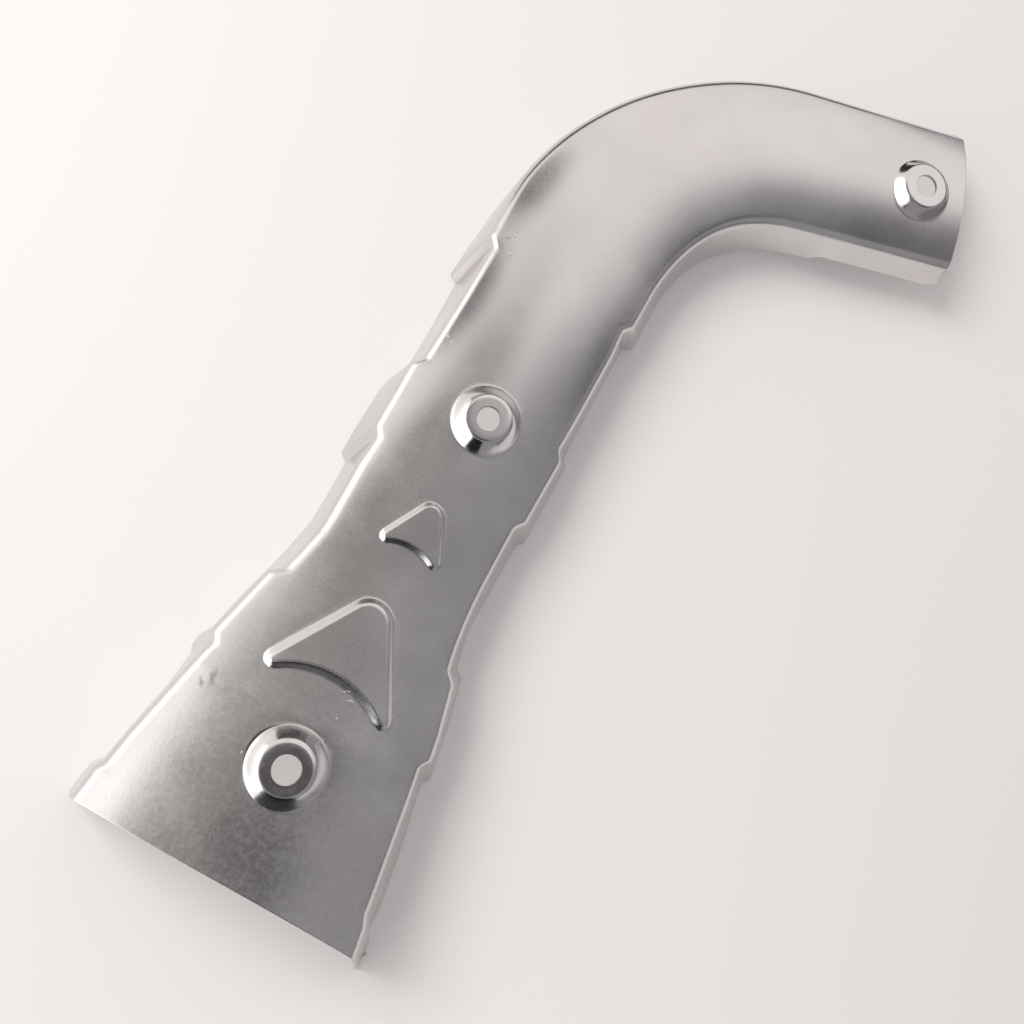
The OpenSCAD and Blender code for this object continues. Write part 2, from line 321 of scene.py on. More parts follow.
def wall_profile(rise, steep, top_r, top_steps):
    """Distances inwards from the foot, and heights, up a straight wall with two radii."""
    run = rise / math.tan(steep) + (FOOT_R + top_r) * math.tan(steep / 2)
    points = [(FOOT_R * math.sin(steep * t), FOOT_R * (1 - math.cos(steep * t))) for t in (0, 0.5, 1)]
    over = [(run - top_r * math.sin(steep * t), rise - top_r * (1 - math.cos(steep * t)))
            for t in top_steps]
    middle = [tuple(mix(np.array(points[-1]), np.array(over[0]), t)) for t in (0.33, 0.67)]
    return np.array(points + middle + over)


def boss_profile(boss):
    return wall_profile(boss["rise"], BOSS_WALL, BOSS_TOP_R, (1, 0.8, 0.6, 0.4, 0.2, 0))


def fin_profile(fin):
    return wall_profile(fin["rise"], FIN_WALL, fin["top_r"], (1, 0.75, 0.5, 0.25, 0))


for boss in BOSSES:
    boss["top"] = boss["foot"] - boss_profile(boss)[-1, 0]
    print("boss at", boss["at"], "has a flat top of radius", round(boss["top"], 1))

# %% [markdown]
# # The sheet's grid
# The sheet starts as a flat grid. Around a boss or a fin its lines are laid as
# square rings, which the die later draws out to circles or to the fin's
# outline, so that edges of the mesh follow every edge of the pressing. A ring
# has a number of its own, from 0 in the middle to HOLE, FOOT and EDGE. A
# Boolean or a remesh would be quicker, and would leave ragged edges that the
# steel's highlights show up.

# %% Rings
RING_FOOT_R = 10.3
nominal = RING_FOOT_R - boss_profile(BOSSES[1])[::-1, 0]
RING = np.concatenate([np.linspace(0, 3.6, 7), [3.9, 4.9], nominal, [10.75, 11.4, 12.4, 13.6]])
HOLE, FOOT, EDGE = 6, 8 + len(nominal), len(RING) - 1
BLOCK = RING[EDGE]
FIN_BLOCK = 1.16
for fin in FINS:
    low = min(fin["left"][1], fin["right"][1]) - fin["corner_r"]
    high = fin["point"][1] + fin["point_r"]
    fin["half"] = max(-fin["left"][0], fin["right"][0]) + fin["corner_r"]
    fin["mid"] = (low + high) / 2
    fin["reach"] = (high - low) / 2
    inner = RING[:FOOT + 1] / RING[FOOT] * fin["reach"]
    outer = fin["reach"] * mix(1, FIN_BLOCK, np.linspace(0, 1, EDGE - FOOT + 1))[1:]
    fin["rows"] = np.concatenate([inner, outer])
print("rings of the grid:", len(RING), "foot ring", FOOT)

# %% [markdown]
# A row of the grid is a station. Rows are close together where the press bends
# the sheet sharply and wide apart elsewhere, which keeps the mesh light. A
# column runs along the whole shield: rings in the middle, then the outer
# crown, the fold and the wall on each side.

# %% Rows and columns
ROW_GAP, NEAR_GAP, SAME_ROW = 1.7, 0.16, 0.02
OUTER, FOLD = 5, 9
WALL_STEPS = (0.2, 0.4, 0.6, 0.8, 0.985, 1)
both = (-1, 1)
fixed = [boss["at"] + e * r for boss in BOSSES for e in both for r in RING]
fixed += [fin["mid"] + e * r for fin in FINS for e in both for r in fin["rows"]]
joggle_at = [9, 48, 70.8, 116.5, 139.8, 182.5, NOTCH_AT]
near = [0, 0.4, 0.8, 1.2, 1.6, 2.0, 2.6, 3.4]
extra = [at + e * d for at in joggle_at for e in both for d in near]
extra += [SPINE - CORNER_R * math.cos(math.radians(a)) for a in (90, 75, 60, 45, 30, 15, 0)]
extra += [0, 0.3, SPINE - 0.3, SPINE, LEG, TAIL_AT]


def thin(stations, kept, gap):
    """Adds stations to kept ones where none is closer than gap."""
    kept = list(kept)
    for s in sorted(stations):
        if min(abs(s - k) for k in kept) > gap:
            kept.append(s)
    return sorted(kept)


rows = thin(extra, thin(fixed, [0.0, SPINE], SAME_ROW), NEAR_GAP)
rows = [s for s in rows if 0 <= s <= SPINE]
filled = [rows[0]]
for s in rows[1:]:
    parts = math.ceil((s - filled[-1]) / ROW_GAP)
    start = filled[-1]
    filled += [mix(start, s, k / parts) for k in range(1, parts + 1)]
ROWS = np.array(filled)
half_columns = EDGE + OUTER + FOLD + len(WALL_STEPS)
COLUMNS = 2 * half_columns + 1
print("rows:", len(ROWS), "columns:", COLUMNS)

# %% [markdown]
# # The die
# A press tool is a shape that the sheet is pushed into. Here it is a set of
# functions that give the height and place of every grid point. Bending by hand
# with proportional editing couldn't hold the fold radius, the joggles and the
# bosses true to a tenth of a millimetre, so the grid is placed by them.
#
# The first functions share out the width: how far the rings reach, where the
# fold starts, and how the plain columns stretch in between.

# %% Die for the columns
FOLD_SHARE = 0.6
BESIDE_FIN, BESIDE_FOLD, BESIDE_FADE = 2.2, 1.2, 7.0
LEAN_END = (148, 180)


def fold_start(s, side):
    return fold_half(s, side) - FOLD_SHARE * FOLD_R


def block_half(s):
    """Half width of the part of the crown that belongs to the rings."""
    half = np.full_like(s, BLOCK)
    for fin in FINS:
        end = fin["reach"] * FIN_BLOCK
        room = max(0, fin["half"] + BESIDE_FIN - BLOCK)
        half += room * (1 - ease(end, end + BESIDE_FADE, np.abs(s - fin["mid"])))
    return np.minimum(half, np.minimum(fold_start(s, 1), fold_start(s, -1)) - BESIDE_FOLD)


def plain_offset(u, s):
    """Offset of ring column u where there is no boss or fin."""
    beyond = np.maximum(0, np.abs(u) - RING[FOOT])
    stretch = (block_half(s) - RING[FOOT]) / (BLOCK - RING[FOOT])
    return np.sign(u) * (np.minimum(np.abs(u), RING[FOOT]) + beyond * stretch)


def lean(x, s):
    """Cross features of the long leg lean a little."""
    return s - CROSS_LEAN * x * (1 - ease(*LEAN_END, s))


print("half width of the rings at the wide end in mm:", round(float(block_half(np.array([0.0]))[0]), 1))

# %% [markdown]
# A square ring becomes round when each of its points is turned to a direction.
# Taking the point's own direction would crowd the corners. So each side of the
# square gets an even quarter of the turn.

# %% Die for square rings
def ring_direction(a, b):
    """Turns a place on a square ring into a direction, evenly spread."""
    m = np.maximum(np.maximum(np.abs(a), np.abs(b)), 1e-9)
    beside = np.abs(a) >= np.abs(b)
    angle = np.where(beside, b / m * math.pi / 4, math.pi / 2 - a / m * math.pi / 4)
    sign_a = np.where(a < 0, -1, 1)
    sign_b = np.where(b < 0, -1, 1)
    cos = np.where(beside, sign_a * np.cos(angle), np.cos(angle))
    sin = np.where(beside, np.sin(angle), sign_b * np.sin(angle))
    return cos, sin


def square_turn(qx, qy):
    """A place on a square ring as a turn from 0 to 8, anticlockwise from its right side."""
    return np.where(qx >= 0.9999, np.mod(qy, 8), np.where(
        qy >= 0.9999, 2 - qx, np.where(qx <= -0.9999, 4 - qy, 6 + qx)))


corner = np.array([1.0])
print("the corner of a square ring points to", np.round(ring_direction(corner, corner), 3).ravel())

# %% [markdown]
# A fin's foot line is four arcs with straight lines between them: the point,
# the two base corners, and the hollow of the base, which bends inwards. Every
# arc gets its share of the ring's turn, and each place on the line also knows
# which way leads into the fin, so that one inset draws the wall and the top.

# %% Outline of a fin
FAN = 0.2


def bearing(way):
    return math.atan2(way[1], way[0])


def fin_outline(fin):
    """Turns, places on the fin's foot line and directions that point into the fin."""
    left, right, point = (np.array(fin[name]) for name in ("left", "right", "point"))
    half = (right - left) / 2
    down = np.array([half[1], -half[0]]) / np.linalg.norm(half)
    hollow = left + half + down * math.sqrt((fin["base_r"] + fin["corner_r"]) ** 2 - half @ half)
    faces = []
    for corner, side in ((left, 1), (right, -1)):
        way = point - corner
        tilt = math.asin((fin["point_r"] - fin["corner_r"]) / np.linalg.norm(way))
        faces.append(bearing(way) + side * (math.pi / 2 + tilt))
    turns, places, inwards = [], [], []
    for centre, radius, first, last, start, end, into in [
        (point, fin["point_r"], 1, 3, faces[1], faces[0], -1),
        (left, fin["corner_r"], 5 - FAN, 5 + FAN, faces[0], 2 * math.pi + bearing(hollow - left), -1),
        (hollow, fin["base_r"], 5 + FAN, 7 - FAN, bearing(left - hollow), bearing(right - hollow), 1),
        (right, fin["corner_r"], 7 - FAN, 7 + FAN, bearing(hollow - right), faces[1], -1),
    ]:
        t = np.linspace(0, 1, 60)
        out = np.stack([np.cos(mix(start, end, t)), np.sin(mix(start, end, t))], 1)
        turns.append(mix(first, last, t))
        places.append(centre + radius * out)
        inwards.append(into * out)
    return np.concatenate(turns), np.concatenate(places), np.concatenate(inwards)


for fin in FINS:
    fin["outline"] = fin_outline(fin)
    stations = fin["outline"][1][:, 1]
    print("fin from station", round(stations.min(), 1), "to", round(stations.max(), 1))

# %% [markdown]
# The flat top of a fin is stretched between its four sides, like a cloth in a
# frame. A plain grid cut off at the outline would leave triangles at the edge.

# %% Top of a fin
def fin_place(fin, turn, inset):
    turns, places, inwards = fin["outline"]
    return np.stack([np.interp(turn, turns, places[:, n], period=8) +
                     inset * np.interp(turn, turns, inwards[:, n], period=8) for n in (0, 1)], -1)


def fin_top(fin, u, v, inset):
    """The flat top, stretched between its four sides."""
    def side(qx, qy):
        return fin_place(fin, square_turn(qx, qy), inset)

    one = np.ones_like(u)
    su, sv = (u[..., None] + 1) / 2, (v[..., None] + 1) / 2
    across = (1 - sv) * side(u, -one) + sv * side(u, one)
    along = (1 - su) * side(-one, v) + su * side(one, v)
    ends = (1 - su) * ((1 - sv) * side(-one, -one) + sv * side(-one, one)) + su * (
        (1 - sv) * side(one, -one) + sv * side(one, one))
    return across + along - ends


middle = np.zeros(1)
print("middle of the large fin's top:", np.round(fin_top(FINS[0], middle, middle, 2.0)[0], 1))

# %% [markdown]
# Every boss and fin is a block of rings. Inside its foot a block follows the
# boss or the fin, and outside it blends back into the plain grid.

# %% Die for one boss and for one fin
def press_block(a, b, mid, rows_at, foot_point, inner_point):
    """Offsets and stations of the grid points (a, b), counted from the middle of one block."""
    m = np.maximum(np.abs(a), np.abs(b))
    safe = np.maximum(m, 1e-9)
    qx, qy = a / safe, b / safe
    edge_s = mid + np.sign(qy) * np.interp(np.abs(qy) * RING[EDGE], RING, rows_at)
    edge_x = plain_offset(qx * RING[EDGE], edge_s)
    edge = edge_x, lean(edge_x, edge_s)
    foot = foot_point(qx, qy)
    inner = inner_point(qx, qy, m)
    t = np.clip((m - RING[FOOT]) / (RING[EDGE] - RING[FOOT]), 0, 1)
    inside = m <= RING[FOOT]
    return [np.where(inside, i, mix(f, e, t)) for i, f, e in zip(inner, foot, edge)]


def press_boss(boss, a, b):
    profile = boss_profile(boss)
    radii = np.concatenate([
        np.linspace(0, boss["hole"], HOLE + 1), [boss["hole"] + 0.3, mix(boss["hole"], boss["top"], 0.55)],
        boss["foot"] - profile[::-1, 0]])
    heights = np.concatenate([np.full(HOLE + 3, boss["rise"]), profile[::-1, 1]])

    def at_radius(qx, qy, r):
        cos, sin = ring_direction(qx, qy)
        return boss["side"] + r * cos, boss["at"] + r * sin

    x, y = press_block(
        a, b, boss["at"], RING, lambda qx, qy: at_radius(qx, qy, boss["foot"]),
        lambda qx, qy, m: at_radius(qx, qy, np.interp(m, RING[:FOOT + 1], radii)))
    m = np.maximum(np.abs(a), np.abs(b))
    share = np.interp(m, RING[:FOOT + 1], heights) / boss["rise"]
    seat = crown_z(boss["side"], boss["at"]) + boss["rise"] / math.cos(boss["lean"])
    seat = seat - (y - boss["at"]) * math.tan(boss["lean"])
    return x, y, mix(crown_z(x, y), seat, share)


def press_fin(fin, a, b):
    profile = fin_profile(fin)
    first = FOOT + 1 - len(profile)
    insets = np.concatenate([[profile[-1, 0]] * first, profile[::-1, 0]])
    heights = np.concatenate([[profile[-1, 1]] * first, profile[::-1, 1]])

    def placed(points):
        return points[..., 0], points[..., 1] - CROSS_LEAN * points[..., 0]

    def foot_point(qx, qy):
        return placed(fin_place(fin, square_turn(qx, qy), 0))

    def inner_point(qx, qy, m):
        inset = np.interp(m, RING[:FOOT + 1], insets)
        wall = fin_place(fin, square_turn(qx, qy), inset)
        scale = np.minimum(m / RING[first], 1)
        top = fin_top(fin, qx * scale, qy * scale, profile[-1, 0])
        return placed(np.where(m[..., None] < RING[first], top, wall))

    x, y = press_block(a, b, fin["mid"], fin["rows"], foot_point, inner_point)
    m = np.maximum(np.abs(a), np.abs(b))
    return x, y, crown_z(x, y) + np.interp(m, RING[:FOOT + 1], heights)


top = press_boss(BOSSES[0], np.zeros(1), np.zeros(1))
print("middle of the first boss in mm:", [round(float(v[0]), 1) for v in top])

# %% [markdown]
# The folds and walls follow. At every station a fold turns from the slope of
# the crown to the slope of the wall, and the wall runs straight to the foot
# edge. Down the wall the station slides along the slant of the joggles. A
# Bevel on a sharp fold would round it too, but its radius would change where
# the joggles are.

# %% Die for folds and walls
def press_side(s, side):
    """Outer crown, fold and wall on one side (1 is right), as (x, s, z) rows."""
    half = fold_half(s, side)
    start = fold_start(s, side)
    foot_s = s + slant(s, RIGHT_SLANT if side > 0 else LEFT_SLANT)
    foot_x = right_foot(foot_s) if side > 0 else left_foot(foot_s)
    foot = foot_z(foot_s, NOTCH_RIGHT if side > 0 else NOTCH_LEFT)
    slope = crown_slope(start, s)
    edge = crown_z(start, lean(side * start, s))
    end_slope = math.pi / 2 - np.arctan((foot_x - half) / (edge - foot))
    for _ in range(4):
        wall_x = start + FOLD_R * (np.sin(end_slope) - np.sin(slope))
        wall_z = edge - FOLD_R * (np.cos(slope) - np.cos(end_slope))
        end_slope = np.arctan2(wall_z - foot, foot_x - wall_x)
    block = block_half(s)
    points = []
    for k in range(1, OUTER + 1):
        x = mix(block, start, k / OUTER)
        points.append((x, s, crown_z(x, lean(side * x, s))))
    for k in range(1, FOLD + 1):
        g = mix(slope, end_slope, k / FOLD)
        x = start + FOLD_R * (np.sin(g) - np.sin(slope))
        points.append((x, s, edge - FOLD_R * (np.cos(slope) - np.cos(g))))
    low_x, _, low_z = points[-1]
    for t in WALL_STEPS:
        points.append((mix(low_x, foot_x, t), mix(s, foot_s, t), mix(low_z, foot, t)))
    return [(side * x, lean(side * x, at), z) for x, at, z in points]


def press_sheet():
    """Every grid point of the outside face: rows by columns by (x, s, z)."""
    sheet = np.zeros((len(ROWS), COLUMNS, 3))
    middle = half_columns
    ring_columns = np.concatenate([-RING[:0:-1], RING])
    u, s = np.meshgrid(ring_columns, ROWS)
    x = plain_offset(u, s)
    at = lean(x, s)
    z = crown_z(x, at)
    for boss in BOSSES:
        rows = np.abs(ROWS - boss["at"]) <= BLOCK + 1e-6
        x[rows], at[rows], z[rows] = press_boss(boss, u[rows], s[rows] - boss["at"])
    for fin in FINS:
        off = ROWS - fin["mid"]
        rows = np.abs(off) <= fin["rows"][-1] + 1e-6
        b = np.sign(off[rows]) * np.interp(np.abs(off[rows]), fin["rows"], RING)
        x[rows], at[rows], z[rows] = press_fin(fin, u[rows], np.repeat(b[:, None], u.shape[1], 1))
    sheet[:, middle - EDGE:middle + EDGE + 1] = np.stack([x, at, z], -1)
    for side in both:
        for k, point in enumerate(press_side(ROWS, side)):
            sheet[:, middle + side * (EDGE + 1 + k)] = np.stack(point, -1)
    return sheet


straight = press_sheet()
print("width over the feet at the wide end in mm:", round(float(np.ptp(straight[0, :, 0])), 1))

# %% [markdown]
# The wide end is trimmed square to its climbing crown, and the whole sheet is
# bent along its spine. A pressed sheet is never quite even, so a very slight
# waviness is added, far less than a tenth of a millimetre. A Curve modifier
# could do the bending, but a formula bends a true arc, however fine the curve.

# %% Trim and bend
END_LEAN, TRIM_REACH = 0.26, 17.0
WAVE_H = 0.02


def trim(p):
    fold_height = crown_top(0) - CROWN_RISE
    p[..., 1] += END_LEAN * (p[..., 2] - fold_height) * np.maximum(0, 1 - p[..., 1] / TRIM_REACH) ** 2
    return p


def bend(p):
    x, s, z = p[..., 0], p[..., 1], p[..., 2]
    g = (np.clip(s, LEG, TAIL_AT) - LEG) / ELBOW_R
    d = np.minimum(0, s - LEG) + np.maximum(0, s - TAIL_AT)
    return np.stack([ELBOW_R - (ELBOW_R - x) * np.cos(g) + d * np.sin(g),
                     LEG + (ELBOW_R - x) * np.sin(g) + d * np.cos(g), z], -1)


def waviness(p):
    x, s = p[..., 0], p[..., 1]
    wave = np.sin(s / 9.1 + 0.7) * np.sin(x / 7.3 + 1.9) + 0.6 * np.sin(s / 5.3 - x / 11 + 0.4)
    p[..., 2] += WAVE_H * wave * (1 - ease(0.4, 0.9, np.abs(x) / crown_half(s)))
    return p


shape = (bend(trim(waviness(straight))) - ORIGIN) * MM
print("pressed height in mm:", round(float(shape[..., 2].max() / MM), 1))

# %% [markdown]
# # Pressing the blank
# The blank is Blender's own grid. Each of its points is moved to its place in
# the die. Then the three holes are pierced by deleting the faces inside the
# hole ring of each boss. A Boolean cutter would pierce them too, but its rim
# would not follow the rings.

# %% Blank and holes
PIERCED = 0.995


def select_faces(obj, chosen):
    bpy.ops.object.mode_set(mode="OBJECT")
    mesh = obj.data
    mesh.vertices.foreach_set("select", np.zeros(len(mesh.vertices), bool))
    mesh.edges.foreach_set("select", np.zeros(len(mesh.edges), bool))
    mesh.polygons.foreach_set("select", np.array(chosen, bool))
    bpy.ops.object.mode_set(mode="EDIT")
    bpy.ops.mesh.select_mode(type="FACE")


def move_points(obj, places):
    obj.data.vertices.foreach_set("co", places.ravel().astype(np.float32))
    obj.data.update()


bpy.ops.object.select_all(action="DESELECT")
bpy.ops.mesh.primitive_grid_add(x_subdivisions=COLUMNS - 1, y_subdivisions=len(ROWS) - 1, size=1)
shield = bpy.context.object
shield.name = "pressed_shield"
flat = np.array([v.co[:2] for v in shield.data.vertices])
column = np.rint((flat[:, 0] + 0.5) * (COLUMNS - 1)).astype(int)
row = np.rint((flat[:, 1] + 0.5) * (len(ROWS) - 1)).astype(int)
move_points(shield, shape[row, column])

holes = []
for boss in BOSSES:
    seat = crown_z(boss["side"], boss["at"]) + boss["rise"]
    centre = (bend(np.array([boss["side"], boss["at"], seat])) - ORIGIN) * MM
    holes.append((centre, boss["hole"] * MM))
middles = np.array([p.center[:] for p in shield.data.polygons])
inside = np.zeros(len(middles), bool)
for centre, radius in holes:
    inside |= np.linalg.norm(middles[:, :2] - centre[:2], axis=1) < radius * PIERCED
select_faces(shield, inside)
bpy.ops.mesh.delete(type="FACE")
bpy.ops.object.mode_set(mode="OBJECT")
print("faces pierced:", int(inside.sum()), "faces left:", len(shield.data.polygons))

# %% [markdown]
# Solidify gives the sheet its thickness, inwards, so that the outside stays
# where the die has it. The rim of the sheet gets a material slot of its own
# for a moment, which makes it easy to find its edges and to take off their
# sharpness: a sheared edge is never razor sharp, and a thin bevel catches the
# light. The points are kept within the frame's box at the end, and the feet
# stand on the ground.

# %% Thickness and edges
EDGE_BEVEL = 0.14
SMOOTH_UP_TO = math.radians(38)
HAIR = 0.01 * MM

sheet_metal = shield.modifiers.new("thickness", "SOLIDIFY")
sheet_metal.thickness = SHEET * MM
sheet_metal.offset = -1
sheet_metal.use_even_offset = False
sheet_metal.material_offset_rim = 1
for name in ("face", "rim"):
    shield.data.materials.append(bpy.data.materials.new(name))
bpy.ops.object.modifier_apply(modifier=sheet_metal.name)
rim = np.array([p.material_index == 1 for p in shield.data.polygons])
select_faces(shield, rim)
bpy.ops.mesh.region_to_loop()
bpy.ops.mesh.bevel(offset=EDGE_BEVEL * MM, segments=2, profile=0.5, affect="EDGES")
bpy.ops.object.mode_set(mode="OBJECT")
shield.data.materials.clear()
bpy.ops.object.shade_smooth_by_angle(angle=SMOOTH_UP_TO)
points = np.array([v.co[:] for v in shield.data.vertices])
print("deepest foot in mm:", round(float(points[:, 2].min()) / MM, 3))
low, high = np.array(cad_box)
move_points(shield, np.clip(points, low + (HAIR, HAIR, 0), high - HAIR))
print("faces:", len(shield.data.polygons))

# %% [markdown]
# # Node helpers
# Materials are made of nodes. Wiring them by hand in the editor is fine for
# one material. A few helpers keep the many small steps below readable: one
# adds a node and wires it, and the others are the kinds that are used most.

# %% Nodes
def node(tree, kind, links=None, **values):
    """Adds a node, sets its sockets by name and wires some of them."""
    made = tree.nodes.new(kind)
    for name, value in values.items():
        setattr(made, name, value)
    for name, source in (links or {}).items():
        if isinstance(source, bpy.types.NodeSocket):
            tree.links.new(source, made.inputs[name])
        else:
            made.inputs[name].default_value = source
    return made


def ranged(tree, value, low, high, to_low=0.0, to_high=1.0):
    made = node(tree, "ShaderNodeMapRange", {"Value": value, "From Min": low, "From Max": high,
                "To Min": to_low, "To Max": to_high}, interpolation_type="SMOOTHSTEP")
    return made.outputs["Result"]


def joined(tree, operation, first, second):
    return node(tree, "ShaderNodeMath", {0: first, 1: second}, operation=operation).outputs[0]


def vector(tree, operation, inputs, output="Vector"):
    return node(tree, "ShaderNodeVectorMath", inputs, operation=operation).outputs[output]


def mixed(tree, share, below, above):
    return node(tree, "ShaderNodeMix", {0: share, 6: below, 7: above}, data_type="RGBA").outputs[2]


def new_material(name):
    made = bpy.data.materials.new(name)
    made.use_nodes = True
    return made, made.node_tree


steel, tree = new_material("satin_steel")
shader = tree.nodes["Principled BSDF"]
shader.inputs["Metallic"].default_value = 1.0
place = tree.nodes.new("ShaderNodeTexCoord").outputs["Object"]
print("nodes in the bare steel:", len(tree.nodes))

# %% [markdown]
# # Grain of the steel
# The sheet is satin steel. It has a fine grain all over, coarser at the wide
# end, faint lines from rolling, and large soft blotches where it is a little
# duller or warmer. A picture of metal would show its own light and its seams,
# so all of it is noise of different sizes, laid on the object's own
# coordinates.

# %% Grain
FINE, COARSE, BLOTCH, WARMTH, ROLLING = 1900, 700, 42, 26, 900


def noise(scale, detail, rough, at=place):
    return node(tree, "ShaderNodeTexNoise", {"Vector": at, "Scale": scale, "Detail": detail,
                "Roughness": rough}).outputs["Fac"]


fine = noise(FINE, 2.0, 0.6)
coarse = noise(COARSE, 3.0, 0.65)
blotch = noise(BLOTCH, 3.0, 0.6)
warmth = noise(WARMTH, 2.0, 0.55)
stretched = node(tree, "ShaderNodeMapping", {"Vector": place, "Scale": (1.0, 0.12, 1.0)}).outputs[0]
rolling = noise(ROLLING, 2.0, 0.5, stretched)
along = node(tree, "ShaderNodeSeparateXYZ", {0: place}).outputs["Y"]
wide_end = ranged(tree, along, -0.055, -0.135)
grain = node(tree, "ShaderNodeMix", {0: wide_end, 2: fine, 3: coarse}, data_type="FLOAT").outputs[0]
print("noises in the steel:", sum(n.type == "TEX_NOISE" for n in tree.nodes))

# %% [markdown]
# # Marks
# Dark marks lie beside the folds, and handling leaves warm stains on the crown and small nicks that catch
# the light. They could be painted on an image. Here each one is a soft ellipsoid with its own place, size
# and turn, and a noise shakes its outline, so that none of them looks drawn with a compass.

# %% Marks
SHAKE = 0.0022
wobble = node(tree, "ShaderNodeTexNoise", {"Vector": place, "Scale": 900, "Detail": 2.0}).outputs["Color"]
shift = vector(tree, "SUBTRACT", {0: wobble, 1: (0.5, 0.5, 0.5)})
shift = vector(tree, "SCALE", {0: shift, "Scale": SHAKE})
shaken = vector(tree, "ADD", {0: place, 1: shift})


def mark(centre, half, turn=0.0, core=0.5, at=shaken):
    """How much a place is covered by a small mark, from 0 to 1."""
    local = node(tree, "ShaderNodeMapping", {
        "Vector": at, "Location": [v * MM for v in centre],
        "Rotation": (0, 0, math.radians(turn)), "Scale": [v * MM for v in half]}, vector_type="TEXTURE")
    away = vector(tree, "LENGTH", {0: local.outputs[0]}, "Value")
    return ranged(tree, away, 1.0, core)


def marks(rows):
    total = mark(*rows[0])
    for row in rows[1:]:
        total = joined(tree, "MAXIMUM", total, mark(*row))
    return total


# place and half sizes in mm, turn in degrees, and where the soft edge ends
DARK_MARKS = [((-57.4, -106.2, 23.4), (1.3, 3.0, 4), 20, 0.2), ((-59.4, -108.6, 23), (0.8, 1.9, 4), 35, 0.2),
        ((-55.4, 21.8, 12), (0.5, 0.5, 1)), ((-56.4, 34.4, 15.5), (0.6, 0.8, 1)),
        ((-62.0, 35.0, 8), (0.5, 1.6, 3), -20)]
STAINS = [((-13.8, 94.4, 22), (9, 5, 6), 30, 0.1), ((-41, -5, 21.5), (9, 12, 6), 0, 0.1),
          ((-13, -124, 28), (11, 14, 8), 20, 0.1), ((-30, -45, 22), (8, 10, 6), 0, 0.1)]
NICKS = [((-25.3, -100.2, 25.8), (0.55, 0.4, 2)), ((-26.0, -106.4, 26.6), (0.5, 0.35, 2)),
         ((-41.8, -118.2, 27), (0.5, 0.5, 2)), ((-26.6, -93.6, 25), (0.5, 1.3, 2), -50),
         ((-24.4, -95.4, 25), (0.4, 0.8, 2), -50), ((-52.7, -60.8, 19.4), (0.4, 1.1, 2), -30),
         ((-50.2, 1.2, 19.8), (0.35, 1.6, 2), -28), ((-49.0, 3.4, 20), (0.3, 1.2, 2), -34),
         ((-51.4, 4.2, 19.4), (0.3, 0.9, 2), -20), ((-50.2, 39.4, 19.6), (0.35, 2.0, 2), -32),
         ((-48.3, 35.3, 20.1), (0.35, 2.2, 2), 12)]
dark_marks, stains, nicks = marks(DARK_MARKS), marks(STAINS), marks(NICKS)
print("marks on the steel:", len(DARK_MARKS + STAINS + NICKS))

# %% [markdown]
# The press wipes the walls of the bosses smooth, so they shine more than the crown. On one side of the
# first boss, a near-black crescent of painted shade lies at the foot, where wall and crown meet. It is the
# part of a shifted circle that lies outside the boss.

# %% Walls of the bosses and painted shade at one foot
PAINTED_SHADE_SHIFT, PAINTED_SHADE_R, PAINTED_SHADE_FROM = (-2.3, 0.7, 0), 9.1, 10.7
WALL_MARGIN = 0.5
seats = [[v / MM for v in centre] for centre, radius in holes]
painted_shade_at = [v + shift for v, shift in zip(seats[0], PAINTED_SHADE_SHIFT)]
moved_circle = mark(painted_shade_at, (PAINTED_SHADE_R, PAINTED_SHADE_R, 20), 0, 0.95, place)
boss_circle = mark(seats[0], (PAINTED_SHADE_FROM, PAINTED_SHADE_FROM, 30), 0, 0.975, place)
painted_foot_shade = joined(tree, "MULTIPLY", moved_circle, ranged(tree, boss_circle, 1, 0))
walls = marks([(seat, (boss["foot"] + WALL_MARGIN, boss["foot"] + WALL_MARGIN, 8), 0, 0.92, place)
               for seat, boss in zip(seats, BOSSES)])
print("bosses with bright walls:", len(seats))

# %% [markdown]
# # The steel put together
# First the colour: two greys in blotches, a warmer one over them, pale flecks from the grain, the dark
# marks, and at the end the painted shade at the foot of the first boss. Then the roughness, lower on the
# walls of the bosses. Last the bump, in which the grain is deeper at the wide end. Real grain of a few
# hundredths of a millimetre could be modelled, but it would need millions of faces, so this much is left
# to a bump.

# %% Colour of the steel
GREY, PALE_GREY = (0.655, 0.643, 0.638, 1), (0.715, 0.705, 0.70, 1)
WARM, FLECK = (0.705, 0.655, 0.645, 1), (0.86, 0.855, 0.85, 1)
# the first tone darkens the dark marks; the second, near black, is painted shade at the foot of the first
# boss
DARK_MARK, PAINTED_FOOT_SHADE = (0.12, 0.11, 0.105, 1), (0.03, 0.028, 0.027, 1)
warm_share = joined(tree, "MULTIPLY", ranged(tree, warmth, 0.52, 0.7), 0.45)
warm_share = joined(tree, "MAXIMUM", warm_share, joined(tree, "MULTIPLY", stains, 0.6))
fleck = ranged(tree, grain, 0.38, 0.66)
colour = mixed(tree, ranged(tree, blotch, 0.35, 0.7), GREY, PALE_GREY)
colour = mixed(tree, warm_share, colour, WARM)
for share, strength, tone in [(fleck, 0.14, FLECK), (dark_marks, 0.5, DARK_MARK), (painted_foot_shade, 0.85, PAINTED_FOOT_SHADE)]:
    colour = mixed(tree, joined(tree, "MULTIPLY", share, strength), colour, tone)
tree.links.new(colour, shader.inputs["Base Color"])
print("grey of the steel:", GREY[:3])

